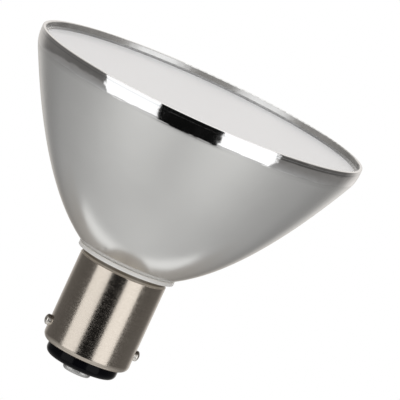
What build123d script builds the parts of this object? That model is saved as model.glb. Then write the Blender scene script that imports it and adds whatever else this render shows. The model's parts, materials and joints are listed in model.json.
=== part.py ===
"""Reflector lamp with a 15 mm bayonet cap, in millimetres.

The lamp axis is Z, with the mouth of the bowl up. The origin is where the axis of the two
bayonet pins crosses the lamp axis. The pins lie along X.
"""
from build123d import *
from math import cos, hypot, radians, sin, sqrt, tan
import os

# Cap shell: drawn brass, measured from the pin axis
cap_radius = 7.5
shell_wall = 0.3
shell_above_pins = 12.45
shell_below_pins = 3.05
shell_corner = 1.15
shell_lip = 0.2
shell_mouth_round = 0.12

# Bayonet pins
pin_radius = 0.9
pin_reach = 0.9
pin_crown = 0.4
pin_round = 0.3
pin_shank_radius = 0.65
pin_head_radius = 1.2
pin_head_thickness = 0.45

# Insulator and contacts under the shell
insulator_drop = 2.0
insulator_corner = 1.05
contact_length = 4.8
contact_width = 3.4
contact_height = 0.8
contact_round = 0.6
contact_margin = 0.15
contact_turn = 11.0
stem_radius = 0.7
stem_rise = 0.4

# Driver housing: moulded cup whose collar shows between bowl and cap
collar_radius = 8.4
collar_band = 0.7
collar_overhang = 1.05
collar_gap = 0.9
collar_round = 0.15
plate_thickness = 1.2
housing_wall = 0.7
cement_gap = 0.25
skirt_above_pin_heads = 0.8
rib_thickness = 0.7
rib_grip = 0.8
boss_radius = 1.4
boss_length = 4.2

# Reflector: spun sheet, a paraboloid bent upright at its mouth
focal_length = 6.7
neck_radius = 8.2
rim_radius = 28.25
band_height = 2.22
band_bend = 6.0
sheet = 0.6
lip_wall = 0.55
lip_round = 0.15
neck_round = 0.2
groove_drop = 0.5
groove_width = 0.22
groove_depth = 0.05

# Front lens and the bead that holds it
lens_recess = 1.25
lens_thickness = 1.7
lens_edge_bevel = 0.1
seal_leg = 0.35

# Light source on the bowl's floor
pad_radius = 7.0
pad_thickness = 0.3
led_board_radius = 7.3
led_board_thickness = 1.0
dam_radius = 3.2
dam_wall = 0.5
dam_height = 0.55
phosphor_height = 0.4
screw_radius = 0.75
screw_length = 6.2
screw_head_radius = 1.35
screw_head_height = 0.9
screw_slot_width = 0.35
screw_slot_depth = 0.4
screw_circle = 5.2

# Driver board and its parts
driver_board_thickness = 1.0
driver_board_drop = 0.5
capacitor_room = 0.45
capacitor_length = 6.3
capacitor_crimp = 0.15
coil_flange_radius = 2.2
coil_flange = 0.7
coil_post_radius = 1.1
coil_height = 4.0
winding_radius = 1.9
rectifier_size = (1.4, 4.8, 3.6)
chip_size = (1.1, 3.0, 1.7)
fuse_radius = 0.9
fuse_length = 4.4
disc_radius = 1.3
disc_thickness = 1.1
resistor_size = (0.55, 0.8, 1.6)
lead_radius = 0.25
leg_width = 0.4
leg_reach = 0.7
leg_thickness = 0.2

# Wires
wire_radius = 0.4
input_wire_rise = 2.4
led_wire_reach = 2.4
led_wire_place = 4.6
led_wire_span = 1.8
led_wire_hump = 1.2

# Clearances
fit = 0.02
board_clearance = 0.08
board_edge_gap = 0.4
lens_clearance = 0.05
hole_clearance = 0.15
part_gap = 0.05
head_gap = 0.3
rib_gap = 0.1

# Levels along the axis, worked out from the sizes above
shell_bottom = -shell_below_pins
shell_top = shell_above_pins
shell_inside = cap_radius - shell_wall
pin_tip = cap_radius + pin_reach
insulator_bottom = shell_bottom - insulator_drop
insulator_top = -(pin_head_radius + head_gap)
insulator_radius = cap_radius - shell_corner - shell_lip
contact_centre = insulator_radius - insulator_corner - contact_margin - contact_width / 2
collar_top = shell_top + collar_gap + collar_band
skirt_bottom = pin_head_radius + skirt_above_pin_heads
skirt_radius = shell_inside - cement_gap
skirt_inside = skirt_radius - housing_wall
plate_bottom = collar_top - plate_thickness
floor_top = collar_top + sheet
vertex = collar_top - neck_radius**2 / (4 * focal_length)
bend_level = vertex + rim_radius**2 / (4 * focal_length)
rim_top = bend_level + band_height
pocket_radius = rim_radius - lip_wall
lens_top = rim_top - lens_recess
lens_seat = lens_top - lens_thickness
pad_top = floor_top + pad_thickness
led_board_top = pad_top + led_board_thickness
board_half_width = skirt_inside - board_edge_gap
board_bottom = skirt_bottom
board_top = plate_bottom - driver_board_drop
board_face = driver_board_thickness / 2
rib_start = board_half_width - rib_grip


def bend(start, end, centre):
    """Short arc in the profile plane from start to end about a centre."""
    radius = hypot(start[0] - centre[0], start[1] - centre[1])
    across = (start[0] + end[0] - 2 * centre[0], start[1] + end[1] - 2 * centre[1])
    reach = radius / hypot(*across)
    middle = (centre[0] + across[0] * reach, centre[1] + across[1] * reach)
    return ThreePointArc(start, middle, end)


def turned(*edges):
    """Body of revolution about Z from the closed outline of (radius, height) edges."""
    outline = Plane.XZ * make_face(Curve() + list(edges))
    return revolve(outline, Axis.Z)


def parabola(low, high, quarter_slope):
    """Arc of z = r**2 / quarter_slope + constant, exact as a curve of three poles."""
    middle = (low[0] + high[0]) / 2
    slope = 2 * low[0] / quarter_slope
    return Bezier(low, (middle, low[1] + slope * (middle - low[0])), high)


def upright(radius, bottom, top, x=0.0, y=0.0):
    """Cylinder along Z between two levels."""
    return Pos(x, y, bottom) * Cylinder(
        radius, top - bottom, align=(Align.CENTER, Align.CENTER, Align.MIN)
    )


def on_board(size, side, y, z):
    """Block with its back on one face of the driver board; side is +1 (front) or -1 (back)."""
    depth, width, height = size
    return Pos(side * (board_face + depth / 2), y, z) * Box(depth, width, height)


def soft_corners(points):
    """One radius for each corner of a route, as large as the two runs there allow."""
    radii = []
    for before, corner, after in zip(points, points[1:], points[2:]):
        arriving = Vector(*corner) - Vector(*before)
        leaving = Vector(*after) - Vector(*corner)
        turn = radians(arriving.get_angle(leaving))
        radii.append(0.45 * min(arriving.length, leaving.length) / tan(turn / 2))
    return radii


def wire(radius, points):
    """Round wire along straight runs joined by tangent arcs."""
    path = FilletPolyline(*points, radius=soft_corners(points))
    return sweep(Plane(path @ 0, z_dir=path % 0) * Circle(radius), path=path)


def inner_curve():
    """Factor and vertex of the inner paraboloid, one sheet inside the outer one at both ends."""
    ends = []
    for radius in (neck_radius, rim_radius):
        slope = radius / (2 * focal_length)
        length = hypot(1, slope)
        height = vertex + radius**2 / (4 * focal_length)
        ends.append((radius - sheet * slope / length, height + sheet / length))
    low, high = ends
    factor = (high[0] ** 2 - low[0] ** 2) / (high[1] - low[1])
    return factor, low[1] - low[0] ** 2 / factor


def inner_radius(level):
    """Radius of the reflecting surface at a level."""
    factor, start = inner_curve()
    return sqrt(factor * (level - start))


def screw_places():
    return [(-screw_circle, 0), (screw_circle, 0)]


def led_wire_holes():
    x = board_face + part_gap + wire_radius
    return [(x, -led_wire_place), (x, led_wire_place)]


def drilled(body, bottom, top, screw_hole):
    """Two screw holes and two wire holes through a layer of the stack under the light source."""
    for x, y in screw_places():
        body -= upright(screw_hole, bottom, top, x, y)
    for x, y in led_wire_holes():
        body -= upright(wire_radius + hole_clearance, bottom, top, x, y)
    return body


def reflector():
    """Spun bowl: true paraboloid walls, flat floor, upright lip with a seat for the lens."""
    factor, _ = inner_curve()
    groove_top = rim_top - groove_drop
    groove_end = groove_top - groove_width
    groove_middle = groove_top - groove_width / 2
    outside = [
        Line((rim_radius, rim_top - lip_round), (rim_radius, groove_top)),
        ThreePointArc(
            (rim_radius, groove_top),
            (rim_radius - groove_depth, groove_middle),
            (rim_radius, groove_end),
        ),
        Line((rim_radius, groove_end), (rim_radius, bend_level)),
        parabola((neck_radius, collar_top), (rim_radius, bend_level), 4 * focal_length),
    ]
    floor = [
        Line((neck_radius, collar_top), (0, collar_top)),
        Line((0, collar_top), (0, floor_top)),
        Line((0, floor_top), (inner_radius(floor_top), floor_top)),
    ]
    inside = [
        parabola(
            (inner_radius(floor_top), floor_top),
            (inner_radius(lens_seat), lens_seat),
            factor,
        ),
        Line((inner_radius(lens_seat), lens_seat), (pocket_radius, lens_seat)),
        Line((pocket_radius, lens_seat), (pocket_radius, rim_top - lip_round)),
    ]
    lip = [
        bend(
            (pocket_radius, rim_top - lip_round),
            (pocket_radius + lip_round, rim_top),
            (pocket_radius + lip_round, rim_top - lip_round),
        ),
        Line((pocket_radius + lip_round, rim_top), (rim_radius - lip_round, rim_top)),
        bend(
            (rim_radius - lip_round, rim_top),
            (rim_radius, rim_top - lip_round),
            (rim_radius - lip_round, rim_top - lip_round),
        ),
    ]
    section = make_face(Curve() + outside + floor + inside + lip)
    bends = [(neck_radius, collar_top, neck_round), (rim_radius, bend_level, band_bend)]
    for radius, level, rounding in bends:
        corner = section.vertices().sort_by_distance((radius, level, 0))[0]
        section = fillet(corner, rounding)
    bowl = revolve(Plane.XZ * section, Axis.Z)
    return drilled(bowl, collar_top - 1, floor_top + 1, screw_radius + fit)


def front_lens():
    """Flat disc on the seat inside the lip, with a bevelled lower edge."""
    radius = pocket_radius - lens_clearance
    outline = Polyline(
        (0, lens_seat),
        (radius - lens_edge_bevel, lens_seat),
        (radius, lens_seat + lens_edge_bevel),
        (radius, lens_top),
        (0, lens_top),
        close=True,
    )
    return turned(outline)


def lens_seal():
    """Bead in the corner between lens and lip, wiped off at 45 degrees."""
    outline = Polyline(
        (pocket_radius, lens_top),
        (pocket_radius - seal_leg, lens_top),
        (pocket_radius, lens_top + seal_leg),
        close=True,
    )
    return turned(outline)


def driver_housing():
    """Moulded cup: collar and plate above, skirt in the cap, board ribs and screw bosses inside."""
    band_bottom = shell_top + collar_gap
    foot = collar_radius - collar_overhang
    outline = [
        Polyline(
            (collar_radius, collar_top - collar_round),
            (collar_radius, band_bottom),
            (foot, band_bottom),
            (foot, shell_top),
            (skirt_radius, shell_top),
            (skirt_radius, skirt_bottom),
            (skirt_inside, skirt_bottom),
            (skirt_inside, plate_bottom),
            (0, plate_bottom),
            (0, collar_top),
            (collar_radius - collar_round, collar_top),
        ),
        bend(
            (collar_radius - collar_round, collar_top),
            (collar_radius, collar_top - collar_round),
            (collar_radius - collar_round, collar_top - collar_round),
        ),
    ]
    cup = turned(*outline)
    cavity = upright(skirt_inside + housing_wall / 2, skirt_bottom, plate_bottom)
    rib_height = plate_bottom - skirt_bottom
    rib_reach = skirt_radius - rib_start
    rib_place = board_face + board_clearance + rib_thickness / 2
    for side in (-1, 1):
        for face in (-1, 1):
            rib = Pos(
                face * rib_place,
                side * (skirt_radius - rib_reach / 2),
                skirt_bottom + rib_height / 2,
            ) * Box(rib_thickness, rib_reach, rib_height)
            cup += rib & cavity
    for x, y in screw_places():
        cup += upright(boss_radius, plate_bottom - boss_length, plate_bottom, x, y) & cavity
    return drilled(cup, plate_bottom - boss_length - 1, collar_top + 1, screw_radius + fit)


def cap_cement():
    """Thin sleeve of cement between the housing's skirt and the shell."""
    sleeve = upright(shell_inside, skirt_bottom, shell_top)
    return sleeve - upright(skirt_radius, skirt_bottom - 1, shell_top + 1)


def cap_shell():
    """Drawn shell with a rounded, inturned bottom, a soft upper edge and two holes for the pins."""
    corner_radius = cap_radius - shell_corner
    corner_level = shell_bottom + shell_corner
    centre = (corner_radius, corner_level)
    lip_radius = insulator_radius
    mouth_round = (cap_radius - shell_mouth_round, shell_top - shell_mouth_round)
    shell = turned(
        bend((mouth_round[0], shell_top), (cap_radius, mouth_round[1]), mouth_round),
        Line((cap_radius, mouth_round[1]), (cap_radius, corner_level)),
        bend((cap_radius, corner_level), (corner_radius, shell_bottom), centre),
        Line((corner_radius, shell_bottom), (lip_radius, shell_bottom)),
        Line((lip_radius, shell_bottom), (lip_radius, shell_bottom + shell_wall)),
        Line((lip_radius, shell_bottom + shell_wall), (corner_radius, shell_bottom + shell_wall)),
        bend((corner_radius, shell_bottom + shell_wall), (shell_inside, corner_level), centre),
        Line((shell_inside, corner_level), (shell_inside, shell_top)),
        Line((shell_inside, shell_top), (mouth_round[0], shell_top)),
    )
    holes = Rot(0, 90, 0) * Cylinder(pin_shank_radius + fit, 2 * pin_tip)
    return shell - holes


def bayonet_pin(side):
    """Crowned pin seated on the shell, its thinner shank riveted over inside."""
    head_end = sqrt(shell_inside**2 - pin_head_radius**2) - fit
    head_start = head_end - pin_head_thickness
    crown_start = pin_tip - pin_crown
    crown_radius = (pin_crown**2 + pin_radius**2) / (2 * pin_crown)
    outside = make_face(
        Curve()
        + [
            Polyline((pin_tip, 0), (head_end, 0), (head_end, pin_radius), (crown_start, pin_radius)),
            bend((crown_start, pin_radius), (pin_tip, 0), (pin_tip - crown_radius, 0)),
        ]
    )
    shoulder = outside.vertices().sort_by_distance((crown_start, pin_radius, 0))[0]
    pin = revolve(Plane.XZ * fillet(shoulder, pin_round), Axis.X)
    pin -= upright(cap_radius, -pin_head_radius, pin_head_radius)
    rivet = Polyline(
        (head_start, 0),
        (head_start, pin_head_radius),
        (head_end, pin_head_radius),
        (head_end, pin_shank_radius),
        (cap_radius + fit, pin_shank_radius),
        (cap_radius + fit, 0),
        close=True,
    )
    pin += revolve(Plane.XZ * make_face(rivet), Axis.X)
    return pin if side > 0 else Rot(0, 0, 180) * pin


def contact_places():
    """Centres of the two contacts, near enough square to the pins."""
    turn = radians(contact_turn)
    return [
        (-side * contact_centre * sin(turn), -side * contact_centre * cos(turn))
        for side in (1, -1)
    ]


def cap_insulator():
    """Insulator fused into the bottom of the shell, with a hole for each contact stem."""
    inner_corner = shell_corner - shell_wall
    corner_radius = cap_radius - shell_corner
    corner_level = shell_bottom + shell_corner
    inside_bottom = shell_bottom + shell_wall
    flat = insulator_radius - insulator_corner
    edge_level = insulator_bottom + insulator_corner
    body = turned(
        Polyline(
            (0, insulator_top),
            (0, insulator_bottom),
            (flat, insulator_bottom),
        ),
        bend((flat, insulator_bottom), (insulator_radius, edge_level), (flat, edge_level)),
        Polyline(
            (insulator_radius, edge_level),
            (insulator_radius, inside_bottom),
            (corner_radius, inside_bottom),
        ),
        bend(
            (corner_radius, inside_bottom),
            (corner_radius + inner_corner, corner_level),
            (corner_radius, corner_level),
        ),
        Polyline((shell_inside, corner_level), (shell_inside, insulator_top), (0, insulator_top)),
    )
    for x, y in contact_places():
        body -= upright(stem_radius + fit, insulator_bottom - 1, insulator_top + 1, x, y)
    return body


def contact(index):
    """Oval soldered contact, rounded below, with a stem up through the insulator."""
    x, y = contact_places()[index]
    plate = extrude(Ellipse(contact_length / 2, contact_width / 2), contact_height)
    plate = fillet(plate.edges().group_by(Axis.Z)[0], contact_round)
    plate = Pos(x, y, insulator_bottom - contact_height) * Rot(0, 0, -contact_turn) * plate
    return plate + upright(stem_radius, insulator_bottom - part_gap, insulator_top + stem_rise, x, y)


def thermal_pad():
    pad = upright(pad_radius, floor_top, pad_top)
    return drilled(pad, floor_top - 1, pad_top + 1, screw_radius + hole_clearance)


def led_board():
    board = upright(led_board_radius, pad_top, led_board_top)
    return drilled(board, pad_top - 1, led_board_top + 1, screw_radius + hole_clearance)


def led_dam():
    """Low ring round the light-emitting area."""
    ring = upright(dam_radius, led_board_top, led_board_top + dam_height)
    return ring - upright(dam_radius - dam_wall, led_board_top - 1, led_board_top + dam_height + 1)


def led_phosphor():
    return upright(dam_radius - dam_wall, led_board_top, led_board_top + phosphor_height)


def board_screws():
    """Two slotted screws through board, pad and bowl into the housing's bosses."""
    screws = Part()
    for x, y in screw_places():
        head_top = led_board_top + screw_head_height
        screw = upright(screw_radius, led_board_top - screw_length, led_board_top, x, y)
        screw += upright(screw_head_radius, led_board_top, head_top, x, y)
        slot = Box(2 * screw_head_radius + 1, screw_slot_width, screw_slot_depth)
        screws += screw - Pos(x, y, head_top - screw_slot_depth / 2) * slot
    return screws


def driver_board():
    height = board_top - board_bottom
    return Pos(0, 0, board_bottom + height / 2) * Box(
        driver_board_thickness, 2 * board_half_width, height
    )


def bridge_rectifier():
    """Flat package with four legs, high on the back of the board."""
    _, width, height = rectifier_size
    middle = board_top - leg_reach - height / 2
    body = on_board(rectifier_size, -1, 0, middle)
    for y in (-width / 4, width / 4):
        body += on_board((leg_thickness, leg_width, height + 2 * leg_reach), -1, y, middle)
    return body


def driver_chip():
    """Small package with three legs each side, high on the front of the board."""
    _, width, height = chip_size
    place = width / 2 + part_gap
    middle = board_top - leg_reach - height / 2
    body = on_board(chip_size, 1, place, middle)
    for step in (-1, 0, 1):
        leg = (leg_thickness, leg_width, height + 2 * leg_reach)
        body += on_board(leg, 1, place + step * width / 3, middle)
    return body


def capacitor_size():
    """Radius of the largest can that clears the cup's wall, half off centre beside the board."""
    start = board_face + part_gap
    room = skirt_inside - capacitor_room
    return 4 * (sqrt((start + room) ** 2 + (room**2 - start**2) / 4) - start - room)


def smoothing_capacitor():
    """Upright can with a crimped neck, its two leads bent over to the board."""
    capacitor_radius = capacitor_size()
    x = board_face + part_gap + capacitor_radius
    y = -capacitor_radius / 2
    bottom = board_bottom + part_gap
    top = bottom + capacitor_length
    crimp = top - 2 * leg_width
    can = upright(capacitor_radius, bottom, top, x, y)
    ring = upright(capacitor_radius + 1, crimp - leg_thickness, crimp, x, y)
    can -= ring - upright(capacitor_radius - capacitor_crimp, crimp - 1, crimp + 1, x, y)
    for step in (-1, 1):
        lead_y = y + step * capacitor_radius / 3
        corner = top + 3 * lead_radius
        can += wire(
            lead_radius,
            [(x, lead_y, top - part_gap), (x, lead_y, corner), (board_face, lead_y, corner)],
        )
    return can


def coil_place():
    return board_bottom + coil_flange_radius + part_gap


def coil_disc(radius, start, end):
    """Disc of the coil, its axis square to the back of the board."""
    middle = -(board_face + (start + end) / 2)
    return Pos(middle, 0, coil_place()) * Rot(0, 90, 0) * Cylinder(radius, end - start)


def inductor_core():
    """Drum core standing on the back of the board."""
    core = coil_disc(coil_post_radius, 0, coil_height)
    core += coil_disc(coil_flange_radius, 0, coil_flange)
    core += coil_disc(coil_flange_radius, coil_height - coil_flange, coil_height)
    return core


def inductor_winding():
    start = coil_flange + fit
    end = coil_height - coil_flange - fit
    return coil_disc(winding_radius, start, end) - coil_disc(coil_post_radius + fit, 0, coil_height)


def fuse_resistor():
    """Axial resistor lying up the front of the board, with bent leads."""
    x = board_face + part_gap + fuse_radius
    y = rib_start - rib_gap - fuse_radius
    bottom = board_bottom + 3 * lead_radius + part_gap
    top = bottom + fuse_length
    body = upright(fuse_radius, bottom, top, x, y)
    body = fillet(body.edges(), fuse_radius / 3)
    for end, way in ((bottom, -1), (top, 1)):
        corner = end + way * 2 * lead_radius
        body += wire(
            lead_radius,
            [(x, y, end - way * part_gap), (x, y, corner), (board_face, y, corner)],
        )
    return body


def ceramic_capacitor():
    """Round-edged disc between the coil and a rib."""
    y = rib_start - rib_gap - disc_radius
    z = coil_place() + coil_flange_radius
    disc = Cylinder(disc_radius, disc_thickness)
    disc = fillet(disc.edges(), disc_thickness / 3)
    return Pos(-(board_face + disc_thickness / 2), y, z) * Rot(0, 90, 0) * disc


def chip_resistors():
    """Four small chips in a column on the back of the board."""
    _, width, height = resistor_size
    chips = Part()
    for step in range(4):
        z = board_top - height / 2 - part_gap - step * (height + 2 * part_gap)
        chips += on_board(resistor_size, -1, -(rectifier_size[1] / 2 + width), z)
    return chips


def input_wire(index):
    """Wire from a contact stem up to the back of the driver board."""
    x, y = contact_places()[index]
    start = insulator_top + stem_rise
    beside = -(board_face + part_gap + wire_radius)
    bow = (board_bottom - start) / 3
    return wire(
        wire_radius,
        [
            (x, y, start),
            (x, y, start + bow),
            (beside, y, board_bottom - bow / 2),
            (beside, y, board_bottom + input_wire_rise),
        ],
    )


def led_wire(index):
    """Wire from the driver board up through the floor, over and down to the LED board."""
    x, y = led_wire_holes()[index]
    outward = 1 if y > 0 else -1
    crest = led_board_top + led_wire_hump
    landing = y + outward * led_wire_span
    return wire(
        wire_radius,
        [
            (x, y, board_top - led_wire_reach),
            (x, y, crest),
            (x, landing, crest),
            (x, landing, led_board_top),
        ],
    )


def all_parts():
    return {
        "reflector": reflector(),
        "front_lens": front_lens(),
        "lens_seal": lens_seal(),
        "driver_housing": driver_housing(),
        "cap_cement": cap_cement(),
        "cap_shell": cap_shell(),
        "bayonet_pin_left": bayonet_pin(-1),
        "bayonet_pin_right": bayonet_pin(1),
        "cap_insulator": cap_insulator(),
        "contact_a": contact(0),
        "contact_b": contact(1),
        "thermal_pad": thermal_pad(),
        "led_board": led_board(),
        "led_dam": led_dam(),
        "led_phosphor": led_phosphor(),
        "board_screws": board_screws(),
        "driver_board": driver_board(),
        "bridge_rectifier": bridge_rectifier(),
        "driver_chip": driver_chip(),
        "smoothing_capacitor": smoothing_capacitor(),
        "inductor_core": inductor_core(),
        "inductor_winding": inductor_winding(),
        "fuse_resistor": fuse_resistor(),
        "ceramic_capacitor": ceramic_capacitor(),
        "chip_resistors": chip_resistors(),
        "input_wire_a": input_wire(0),
        "input_wire_b": input_wire(1),
        "led_wire_a": led_wire(0),
        "led_wire_b": led_wire(1),
    }


def main():
    os.makedirs("parts", exist_ok=True)
    for name, part in all_parts().items():
        part.label = name
        export_step(part, f"parts/{name}.step")


main()
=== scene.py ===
"""Looks of the reflector lamp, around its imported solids. Metres, with the lamp axis along Z."""

import json
import math

import bpy
from mathutils import Matrix, Vector


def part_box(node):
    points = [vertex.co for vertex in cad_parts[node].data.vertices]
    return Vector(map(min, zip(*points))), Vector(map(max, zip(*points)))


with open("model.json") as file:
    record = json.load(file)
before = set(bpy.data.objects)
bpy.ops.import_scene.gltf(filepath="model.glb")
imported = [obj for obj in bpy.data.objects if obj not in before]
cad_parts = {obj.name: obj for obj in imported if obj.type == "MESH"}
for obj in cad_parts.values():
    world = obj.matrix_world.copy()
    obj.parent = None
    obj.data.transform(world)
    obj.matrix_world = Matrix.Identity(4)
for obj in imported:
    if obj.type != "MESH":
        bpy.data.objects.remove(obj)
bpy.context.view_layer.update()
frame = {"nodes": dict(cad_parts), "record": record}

MM = 0.001

# Levels and radius read from the frame
rim_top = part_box("reflector")[1].z
rim_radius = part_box("reflector")[1].x
neck_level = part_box("reflector")[0].z
cap_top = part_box("cap_shell")[1].z

# Bowl: depths below the rim, inwards from its radius and up from the neck
polished_band = 2.68 * MM
polished_wobble = 0.35 * MM
polished_blur = 0.06 * MM
groove_depth = 0.61 * MM
groove_half_width = 0.1 * MM
groove_half_width_faded = 0.13 * MM
groove_inwards = 0.15 * MM
groove_inwards_faded = 0.2 * MM
groove_push = 6
wall_inwards = 0.47 * MM
wall_inwards_faded = 0.42 * MM
wall_flare = 0.27
wall_dullness = 0.16
ripple_share = 32.0
neck_dullness = 0.4
neck_dull_from = 0.1 * MM
neck_dull_to = 0.35 * MM

# Housing: its collar, the painted highlight at the foot above the cap, and the painted shade below
# the neck
collar_height = 0.7 * MM
collar_bottom = neck_level - collar_height
collar_blur_below = 0.06 * MM
collar_blur_above = 0.02 * MM
foot_height = 0.2 * MM
foot_height_faded = 0.3 * MM
bowl_shade_start = 0.3 * MM
bowl_shade_full = 0.02 * MM

# Camera, measured from the photograph
view_azimuth = -10.0
view_elevation = 9.14
view_roll = 24.7
view_distance = 1.0
view_lens = 556.8
aim_level = 18.54 * MM
aim_right = 6.56 * MM
aim_up = 9.23 * MM

# Studio
backdrop_radius = 12.0
backdrop_level = 1.0
floor_drop = 0.7
card_distance = 0.6
card_steps = 12
bend_lift = -9

# Radiance of the softboxes and of the dark flag between them
key_left_level = 1.27
key_right_level = 1.38
flag_level = 0.004
overhead_level = 1.4

# Radiance of what surrounds the lamp
table_level = 0.65
pool_level = 0.33
strip_level = 0.44
back_level = 0.62
wall_low = 0.36
wall_middle = 0.19
wall_high = 0.085
wall_top = 0.36
left_wall_more = 0.04
back_wall_more = 0.06
table_tint = (1, 0.995, 0.985)
wall_tint = (1, 0.96, 0.92)
behind_tint = (0.88, 0.83, 0.77)

# Round pool of light on the table: its middle and its reach, in degrees
pool_side = 38
pool_side_reach = 42
pool_lift = -50
pool_lift_reach = 15

# Strip of light on the table behind the lamp: its bow and its edges, in depths of the table
strip_bow = 0.5
strip_near = (0.19, 0.31)
strip_far = (-0.06, 0.06)
strip_end = (0.56, 0.66)
least_drop = 0.01

# Where table and walls change, in degrees of lift
table_edge = (-85, -30)
wall_foot = (-35, -12)
wall_step = (-12, -8)
wall_rise = (2, 14)
wall_tinge = (-30, -10)

# Where the pale wall behind starts, in degrees of side and lift
back_side = (132, 166)
back_lift = (-27, -12)

# Most noise lies between these values
noise_low = 0.3
noise_high = 0.7


class Recipe:
    """Shader nodes being laid out from a place, in object coordinates unless others are named."""

    def __init__(self, tree, place="Object"):
        self.tree = tree
        self.place = tree.nodes.new("ShaderNodeTexCoord").outputs[place]

    def link(self, source, target):
        self.tree.links.new(source, target)

    def stretched(self, x, y, z):
        node = self.tree.nodes.new("ShaderNodeMapping")
        node.inputs["Scale"].default_value = (x, y, z)
        self.link(self.place, node.inputs["Vector"])
        return node.outputs["Vector"]

    def noise(self, scale, detail=3.0, roughness=0.5, place=None):
        """Noise whose grains are about one over the scale across, in metres."""
        node = self.tree.nodes.new("ShaderNodeTexNoise")
        node.inputs["Scale"].default_value = scale
        node.inputs["Detail"].default_value = detail
        node.inputs["Roughness"].default_value = roughness
        self.link(place or self.place, node.inputs["Vector"])
        return node.outputs["Fac"]

    def spread(self, source, start, end, low=0.0, high=1.0, smooth=False):
        """Value that goes from low to high while the source goes from start to end."""
        node = self.tree.nodes.new("ShaderNodeMapRange")
        if smooth:
            node.interpolation_type = "SMOOTHSTEP"
        ends = {"From Min": start, "From Max": end, "To Min": low, "To Max": high}
        for key, value in ends.items():
            node.inputs[key].default_value = value
        self.link(source, node.inputs["Value"])
        return node.outputs["Result"]

    def vary(self, noise, low, high):
        """Value that goes from low to high with a noise."""
        return self.spread(noise, noise_low, noise_high, low, high)

    def mix(self, factor, first, second):
        """Colour between two colours, each a tuple or a socket."""
        node = self.tree.nodes.new("ShaderNodeMix")
        node.data_type = "RGBA"
        self.link(factor, node.inputs["Factor"])
        for key, value in (("A", first), ("B", second)):
            socket = [s for s in node.inputs if s.name == key and s.type == "RGBA"][0]
            if isinstance(value, tuple):
                socket.default_value = (*value, 1)
            else:
                self.link(value, socket)
        return [s for s in node.outputs if s.type == "RGBA"][0]

    def calc(self, operation, first, second=0.0):
        node = self.tree.nodes.new("ShaderNodeMath")
        node.operation = operation
        for socket, value in zip(node.inputs, (first, second)):
            if isinstance(value, (int, float)):
                socket.default_value = value
            else:
                self.link(value, socket)
        return node.outputs["Value"]

    def plus(self, first, *others):
        for other in others:
            first = self.calc("ADD", first, other)
        return first

    def minus(self, first, second):
        return self.calc("SUBTRACT", first, second)

    def times(self, first, *others):
        for other in others:
            first = self.calc("MULTIPLY", first, other)
        return first

    def over(self, first, second):
        return self.calc("DIVIDE", first, second)

    def squared(self, value):
        return self.calc("POWER", value, 2)

    def turned(self, degrees):
        """The place turned about Z."""
        node = self.tree.nodes.new("ShaderNodeVectorRotate")
        node.rotation_type = "Z_AXIS"
        node.inputs["Angle"].default_value = math.radians(degrees)
        self.link(self.place, node.inputs["Vector"])
        return node.outputs["Vector"]

    def parts(self, place=None):
        """The X, Y and Z of a place."""
        node = self.tree.nodes.new("ShaderNodeSeparateXYZ")
        self.link(place or self.place, node.inputs["Vector"])
        return node.outputs["X"], node.outputs["Y"], node.outputs["Z"]


class Finish(Recipe):
    """Surface material on one Principled shader, with what is the same all over set on it."""

    def __init__(self, name, metallic=0.0, **fixed):
        self.material = bpy.data.materials.new(name)
        self.material.use_nodes = True
        super().__init__(self.material.node_tree)
        self.shader = self.tree.nodes["Principled BSDF"]
        self.shader.inputs["Metallic"].default_value = metallic
        for socket, value in fixed.items():
            self.shader.inputs[socket.replace("_", " ")].default_value = value

    def bump(self, relief, depth, lean=None):
        """Relief on the surface, whose normals lean along a vector where one is given."""
        node = self.tree.nodes.new("ShaderNodeBump")
        node.inputs["Distance"].default_value = depth
        self.link(relief, node.inputs["Height"])
        self.link(node.outputs["Normal"], self.shader.inputs["Normal"])
        if lean is None:
            return
        leaning = self.tree.nodes.new("ShaderNodeVectorMath")
        leaning.operation = "ADD"
        normal = self.tree.nodes.new("ShaderNodeNewGeometry").outputs["Normal"]
        self.link(normal, leaning.inputs[0])
        self.link(lean, leaning.inputs[1])
        unit = self.tree.nodes.new("ShaderNodeVectorMath")
        unit.operation = "NORMALIZE"
        self.link(leaning.outputs["Vector"], unit.inputs[0])
        self.link(unit.outputs["Vector"], node.inputs["Normal"])

    def set(self, socket, source):
        self.link(source, self.shader.inputs[socket])


# Camera
def horizontal(azimuth):
    """Unit vector from the lamp towards something seen at an azimuth, level with it."""
    turn = math.radians(azimuth)
    return Vector((math.sin(turn), -math.cos(turn), 0))


def direction(azimuth, elevation):
    lift = math.radians(elevation)
    return horizontal(azimuth) * math.cos(lift) + Vector((0, 0, math.sin(lift)))


def make_camera():
    back = direction(view_azimuth, view_elevation)
    right = horizontal(view_azimuth + 90)
    up = back.cross(right)
    centre = Vector((0, 0, aim_level))
    place = centre + back * view_distance
    target = centre + right * aim_right + up * aim_up
    back = (place - target).normalized()
    right = (right - back * right.dot(back)).normalized()
    up = back.cross(right)
    roll = math.radians(view_roll)
    across = right * math.cos(roll) + up * math.sin(roll)
    upward = up * math.cos(roll) - right * math.sin(roll)
    camera = bpy.data.objects.new("camera", bpy.data.cameras.new("camera"))
    bpy.context.scene.collection.objects.link(camera)
    axes = Matrix((across, upward, back)).transposed().to_4x4()
    camera.matrix_world = Matrix.Translation(place) @ axes
    camera.data.lens = view_lens
    bpy.context.scene.camera = camera


# Studio
def glowing(name, radiance):
    material = bpy.data.materials.new(name)
    material.use_nodes = True
    nodes = material.node_tree.nodes
    nodes.remove(nodes["Principled BSDF"])
    glow = nodes.new("ShaderNodeEmission")
    glow.inputs["Color"].default_value = (1, 1, 1, 1)
    glow.inputs["Strength"].default_value = radiance
    surface = nodes["Material Output"].inputs["Surface"]
    material.node_tree.links.new(glow.outputs["Emission"], surface)
    return material


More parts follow.
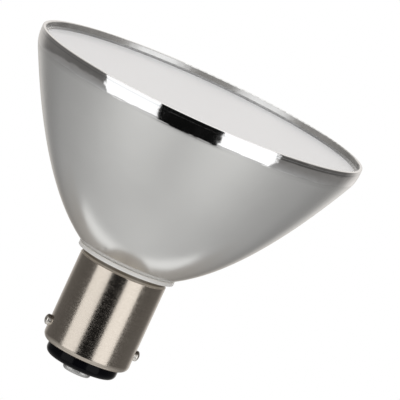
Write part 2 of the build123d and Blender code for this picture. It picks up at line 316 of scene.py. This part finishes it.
def card(name, azimuths, elevations, radiance, lowest=None):
    """Softbox: a glowing patch of a sphere round the lamp, hidden from the camera.

    Azimuths are measured from the camera's side, to the right in the picture. Where lowest is
    given, it holds the azimuths at the lowest elevation.
    """
    lowest = lowest or azimuths
    points = []
    for i in range(card_steps + 1):
        lift = elevations[0] + (elevations[1] - elevations[0]) * i / card_steps
        first, last = (low + (high - low) * i / card_steps for low, high in zip(lowest, azimuths))
        for j in range(card_steps + 1):
            turn = first + (last - first) * j / card_steps
            reach = direction(view_azimuth + turn, lift) * card_distance
            points.append(Vector((0, 0, aim_level)) + reach)
    faces = []
    for i in range(card_steps):
        for j in range(card_steps):
            a = i * (card_steps + 1) + j
            faces.append((a, a + 1, a + card_steps + 2, a + card_steps + 1))
    mesh = bpy.data.meshes.new(name)
    mesh.from_pydata(points, [], faces)
    mesh.materials.append(glowing(name, radiance))
    box = bpy.data.objects.new(name, mesh)
    bpy.context.scene.collection.objects.link(box)
    box.visible_camera = False


def make_surroundings():
    """Light from all round the lamp, as the satin bowl shows it: a pale table, brightest under
    the softboxes and in a strip behind the lamp, and dim brownish walls, darkest about level.

    Lift and side are degrees, up from level and round from the camera's side. Across and along
    are places on the table, to either side and away from the camera, with the table one below
    the lamp.
    """
    world = bpy.data.worlds.new("studio")
    bpy.context.scene.world = world
    world.use_nodes = True
    recipe = Recipe(world.node_tree, "Generated")
    right, y, z = recipe.parts(recipe.turned(-view_azimuth))
    x = recipe.calc("ABSOLUTE", right)
    lift = recipe.times(recipe.calc("ARCSINE", z), math.degrees(1))
    side = recipe.times(recipe.calc("ARCTAN2", x, recipe.times(y, -1)), math.degrees(1))
    drop = recipe.calc("MAXIMUM", recipe.times(z, -1), least_drop)
    across = recipe.over(x, drop)
    along = recipe.over(y, drop)

    # Pool under the softboxes, and strip behind the lamp between a near and a far edge
    pool = recipe.plus(
        recipe.squared(recipe.over(recipe.minus(side, pool_side), pool_side_reach)),
        recipe.squared(recipe.over(recipe.minus(lift, pool_lift), pool_lift_reach)),
    )
    pool = recipe.calc("EXPONENT", recipe.times(pool, -1))
    near = recipe.minus(along, recipe.times(recipe.squared(across), strip_bow))
    far = recipe.minus(along, recipe.spread(across, 0, 0.4, 0.28, 0.62))
    strip = recipe.times(
        recipe.spread(near, *strip_near, smooth=True),
        recipe.spread(far, *strip_far, 1, 0, smooth=True),
        recipe.spread(across, *strip_end, 1, 0, smooth=True),
    )

    # Pale wall behind, a little dimmer on the left, and dark walls that start lower on the left
    back = recipe.times(
        recipe.spread(side, *back_side, smooth=True),
        recipe.spread(lift, *back_lift, smooth=True),
        recipe.spread(right, -0.3, 0.3, 0.75, 1),
    )
    edge = recipe.plus(lift, recipe.spread(right, -0.5, 0.2, 7, 0))
    left_wall = recipe.spread(right, -0.7, -0.2, left_wall_more, 0)
    back_wall = recipe.spread(side, 95, 150, 0, back_wall_more)
    light = recipe.plus(
        recipe.spread(edge, *wall_step, wall_middle, wall_high, smooth=True),
        recipe.spread(lift, *wall_rise, 0, wall_top - wall_high, smooth=True),
        recipe.times(left_wall, recipe.spread(lift, -22, -12)),
        recipe.times(back_wall, recipe.spread(lift, -16, -11)),
        recipe.spread(lift, *wall_foot, wall_low - wall_middle, 0),
        recipe.spread(lift, *table_edge, table_level - wall_low, 0),
        recipe.times(pool, pool_level),
        recipe.times(strip, strip_level),
        recipe.times(back, back_level),
    )

    behind = recipe.times(recipe.spread(far, -0.06, 0.1), recipe.spread(across, 0.55, 0.9, 1, 0))
    tint = recipe.mix(recipe.spread(lift, *wall_tinge), table_tint, wall_tint)
    tint = recipe.mix(behind, tint, behind_tint)
    shade = recipe.tree.nodes["Background"]
    recipe.link(tint, shade.inputs["Color"])
    recipe.link(light, shade.inputs["Strength"])


def make_studio():
    """White floor and backdrop that only the camera sees, and the softboxes.

    Below bend_lift the cards spread outwards, so that the ends of their reflections run straight
    down over the bend under the rim band.
    """
    bpy.ops.mesh.primitive_circle_add(
        vertices=96, radius=backdrop_radius, fill_type="NGON", location=(0, 0, -floor_drop)
    )
    floor = bpy.context.object
    floor.name = "floor"
    bpy.ops.mesh.primitive_uv_sphere_add(segments=48, ring_count=24, radius=backdrop_radius)
    backdrop = bpy.context.object
    backdrop.name = "backdrop"
    for piece in (floor, backdrop):
        piece.data.materials.append(glowing(piece.name, backdrop_level))
        piece.visible_diffuse = False
        piece.visible_glossy = False
        piece.visible_transmission = False
        piece.visible_shadow = False
    for name, azimuths, lowest, top, bottom, radiance in (
        ("key_left", (-64, -22), (-66.5, -24.3), 38, -33, key_left_level),
        ("key_right", (22, 63), (24.3, 66.5), 38, -33, key_right_level),
        ("flag", (-21.5, 21.5), (-25.3, 25.3), 6, -43.5, flag_level),
    ):
        card(name, azimuths, (bend_lift, top), radiance)
        card(name + "_low", azimuths, (bottom, bend_lift), radiance, lowest=lowest)
    card("overhead", (0, 360), (55, 89), overhead_level)


# Surface materials
def plain(
    name, dark, light, rough=(0.4, 0.5), grain=1500.0, relief=0.01 * MM, metallic=0.0, **fixed
):
    """Moulded, coated or plated surface: mottled colour and gloss with a fine grain."""
    finish = Finish(name, metallic, **fixed)
    patches = finish.noise(grain / 8)
    finish.set("Base Color", finish.mix(patches, dark, light))
    finish.set("Roughness", finish.vary(patches, *rough))
    finish.bump(finish.noise(grain), relief)
    return finish.material


def bowl_finish():
    """Spun aluminium: satin outside, a burnished rim band with a fine groove, and a brushed
    inner wall that flares a little."""
    finish = Finish("spun_aluminium", metallic=1.0)
    x, y, level = finish.parts()
    reach = finish.calc("POWER", finish.plus(finish.squared(x), finish.squared(y)), 0.5)

    # Where the band, the groove and the inner wall are
    edge = rim_top - polished_band
    wobble = finish.times(finish.minus(finish.noise(220), 0.5), polished_wobble)
    wavy = finish.plus(level, wobble)
    polished = finish.spread(wavy, edge - polished_blur, edge + polished_blur, smooth=True)
    off_groove = finish.calc("ABSOLUTE", finish.minus(level, rim_top - groove_depth))
    groove = finish.times(
        finish.spread(off_groove, groove_half_width, groove_half_width_faded, 1, 0),
        finish.spread(reach, rim_radius - groove_inwards_faded, rim_radius - groove_inwards),
    )
    wall = finish.times(
        finish.spread(reach, rim_radius - wall_inwards, rim_radius - wall_inwards_faded, 1, 0),
        polished,
    )

    patches = finish.noise(160)
    smudges = finish.noise(520, detail=4.0, roughness=0.6)
    satin = finish.mix(patches, (0.73, 0.73, 0.72), (0.78, 0.78, 0.77))
    bright = finish.mix(smudges, (0.78, 0.78, 0.78), (0.87, 0.87, 0.87))
    brushed = finish.mix(smudges, (0.50, 0.50, 0.495), (0.72, 0.72, 0.715))
    color = finish.mix(wall, finish.mix(polished, satin, bright), brushed)
    finish.set("Base Color", finish.mix(groove, color, (0.72, 0.73, 0.74)))

    gloss = finish.times(polished, finish.spread(smudges, 0.35, 0.7, 0.13, 0.08))
    rough = finish.minus(finish.vary(patches, 0.17, 0.2), gloss)
    neck = (neck_level + neck_dull_from, neck_level + neck_dull_to)
    dulled = finish.spread(level, *neck, neck_dullness, 0)
    finish.set("Roughness", finish.plus(rough, finish.times(wall, wall_dullness), dulled))

    lines = finish.noise(1.0, place=finish.stretched(40, 40, 9000))
    ripples = finish.noise(1.0, detail=2.0, place=finish.stretched(260, 260, 420))
    ripples = finish.times(finish.minus(ripples, 0.5), finish.times(polished, ripple_share))
    push = finish.times(groove, groove_push)
    lean = finish.tree.nodes.new("ShaderNodeCombineXYZ")
    for axis, part in (("X", x), ("Y", y)):
        finish.link(finish.times(finish.over(part, reach), push), lean.inputs[axis])
    finish.link(finish.times(wall, wall_flare), lean.inputs["Z"])
    finish.bump(finish.plus(lines, ripples), 0.002 * MM, lean=lean.outputs["Vector"])
    return finish.material


def cap_finish():
    """Nickel plate over drawn brass: warm grey with faint lines round the shell and fine specks."""
    finish = Finish("nickel_plate", metallic=1.0)
    turned = finish.noise(1.0, detail=4.0, place=finish.stretched(150, 150, 5200))
    specks = finish.noise(3200, detail=2.0, roughness=0.7)
    finish.set("Base Color", finish.mix(specks, (0.50, 0.445, 0.385), (0.68, 0.62, 0.545)))
    finish.set("Roughness", finish.spread(finish.plus(turned, specks), 0.7, 1.3, 0.14, 0.26))
    finish.bump(finish.plus(finish.times(turned, 0.6), specks), 0.005 * MM)
    return finish.material


def pin_finish():
    """Nickel-plated pins, with painted shade on the upper side in place of the dark surroundings
    they reflect there.
    """
    finish = Finish("bright_nickel", metallic=1.0)
    smudges = finish.noise(900)
    facing = finish.parts(finish.tree.nodes.new("ShaderNodeNewGeometry").outputs["Normal"])[2]
    # Painted shade: the side of each pin that faces up is darkened by its normal, standing in for
    # the dark reflection from above.
    painted_top_shade = finish.spread(finish.plus(facing, finish.times(smudges, 0.4)), 0.3, 0.8)
    clean = finish.mix(smudges, (0.80, 0.765, 0.71), (0.90, 0.87, 0.82))
    finish.set("Base Color", finish.mix(painted_top_shade, clean, (0.10, 0.085, 0.07)))
    finish.set("Roughness", finish.vary(smudges, 0.2, 0.28))
    finish.bump(finish.noise(3000), 0.004 * MM)
    return finish.material


def housing_finish():
    """White moulding. The groove under its collar is painted dark brown as shade, paler at the foot
    as a painted highlight of the cap's rim, and the collar has painted shade just under the bowl."""
    finish = Finish("white_moulding")
    level = finish.parts()[2]
    patches = finish.noise(260)

    collar = (collar_bottom - collar_blur_below, collar_bottom + collar_blur_above)
    ring = finish.spread(level, *collar, smooth=True)
    foot = (cap_top + foot_height, cap_top + foot_height_faded)
    # Painted highlight: the foot of the groove is paler, standing in for the lit rolled edge of the
    # cap's shell.
    painted_foot_highlight = finish.spread(level, *foot, 1, 0, smooth=True)
    # Painted shade: the top of the collar darkens just under the bowl.
    painted_bowl_shade = finish.spread(level, neck_level - bowl_shade_start, neck_level - bowl_shade_full)

    # Painted shade: the groove under the collar is coloured dark brown where its recess would be in
    # shade.
    painted_groove = finish.mix(finish.noise(1800), (0.12, 0.097, 0.07), (0.205, 0.172, 0.13))
    painted_groove = finish.mix(painted_foot_highlight, painted_groove, (0.42, 0.37, 0.31))
    white = finish.mix(patches, (0.90, 0.88, 0.85), (0.94, 0.925, 0.90))
    white = finish.mix(painted_bowl_shade, white, (0.86, 0.83, 0.78))
    finish.set("Base Color", finish.mix(ring, painted_groove, white))
    finish.set("Roughness", finish.vary(patches, 0.3, 0.4))
    finish.bump(finish.noise(1500), 0.01 * MM)
    return finish.material


def lens_finish():
    """Frosted plastic disc, evenly pale."""
    finish = Finish("frosted_lens", IOR=1.49, Specular_IOR_Level=0.4)
    patches = finish.noise(120)
    finish.set("Base Color", finish.mix(patches, (0.825, 0.83, 0.845), (0.845, 0.85, 0.865)))
    finish.set("Roughness", finish.vary(patches, 0.3, 0.36))
    finish.bump(finish.noise(5000), 0.001 * MM)
    return finish.material


finishes = {
    "bowl": bowl_finish(),
    "lens": lens_finish(),
    "seal": plain(
        "clear_bead", (0.62, 0.62, 0.62), (0.72, 0.72, 0.72), (0.05, 0.1),
        IOR=1.41, Transmission_Weight=0.6,
    ),
    "housing": housing_finish(),
    "cement": plain("tan_cement", (0.50, 0.44, 0.34), (0.66, 0.60, 0.50), (0.8, 0.9)),
    "cap": cap_finish(),
    "pins": pin_finish(),
    "insulator": plain(
        "black_glass", (0.003, 0.003, 0.004), (0.005, 0.005, 0.007), (0.1, 0.16), 900,
        Specular_IOR_Level=0.08,
    ),
    "solder": plain(
        "tinned_solder", (0.42, 0.42, 0.41), (0.70, 0.70, 0.69), (0.32, 0.5), 6000, 0.03 * MM,
        metallic=1.0,
    ),
    "thermal_pad": plain("silicone_pad", (0.48, 0.50, 0.53), (0.58, 0.60, 0.63), (0.6, 0.7)),
    "led_board": plain("white_solder_mask", (0.84, 0.84, 0.82), (0.90, 0.90, 0.88), (0.35, 0.45)),
    "dam": plain("white_silicone", (0.88, 0.88, 0.85), (0.93, 0.93, 0.90), (0.4, 0.5)),
    "phosphor": plain("phosphor_gel", (0.86, 0.66, 0.12), (0.92, 0.76, 0.20), (0.3, 0.4), 2500),
    "screw": plain(
        "zinc_plate", (0.55, 0.55, 0.56), (0.68, 0.68, 0.68), (0.25, 0.4), metallic=1.0
    ),
    "circuit_board": plain("green_solder_mask", (0.03, 0.17, 0.07), (0.05, 0.24, 0.10), (0.3, 0.4)),
    "package": plain("black_package", (0.025, 0.025, 0.027), (0.04, 0.04, 0.042), (0.5, 0.6)),
    "can": plain("sleeved_can", (0.05, 0.06, 0.10), (0.08, 0.09, 0.14), (0.3, 0.4)),
    "ferrite": plain("ferrite_core", (0.05, 0.05, 0.05), (0.09, 0.09, 0.09), (0.7, 0.85)),
    "copper": plain(
        "enamelled_copper", (0.62, 0.28, 0.12), (0.78, 0.40, 0.20), (0.2, 0.35), metallic=1.0
    ),
    "resistor": plain("lacquered_resistor", (0.18, 0.32, 0.46), (0.26, 0.42, 0.56), (0.3, 0.4)),
    "disc": plain("dipped_ceramic", (0.62, 0.38, 0.10), (0.74, 0.48, 0.16), (0.35, 0.5)),
    "chip": plain("fired_chip", (0.05, 0.05, 0.055), (0.09, 0.09, 0.10), (0.4, 0.5)),
    "wire_red": plain("red_insulation", (0.50, 0.03, 0.02), (0.62, 0.05, 0.04), (0.35, 0.45)),
    "wire_black": plain(
        "black_insulation", (0.02, 0.02, 0.02), (0.035, 0.035, 0.035), (0.35, 0.45)
    ),
    "wire_white": plain("white_insulation", (0.80, 0.80, 0.77), (0.86, 0.86, 0.83), (0.35, 0.45)),
}


def dress_nodes():
    slot_of = {part["node"]: part["material_slot"] for part in frame["record"]["subparts"]}
    for name, node in frame["nodes"].items():
        for slot in node.material_slots:
            slot.material = finishes[slot_of[name]]


dress_nodes()
make_camera()
make_surroundings()
make_studio()
bpy.context.scene.view_settings.view_transform = "Standard"
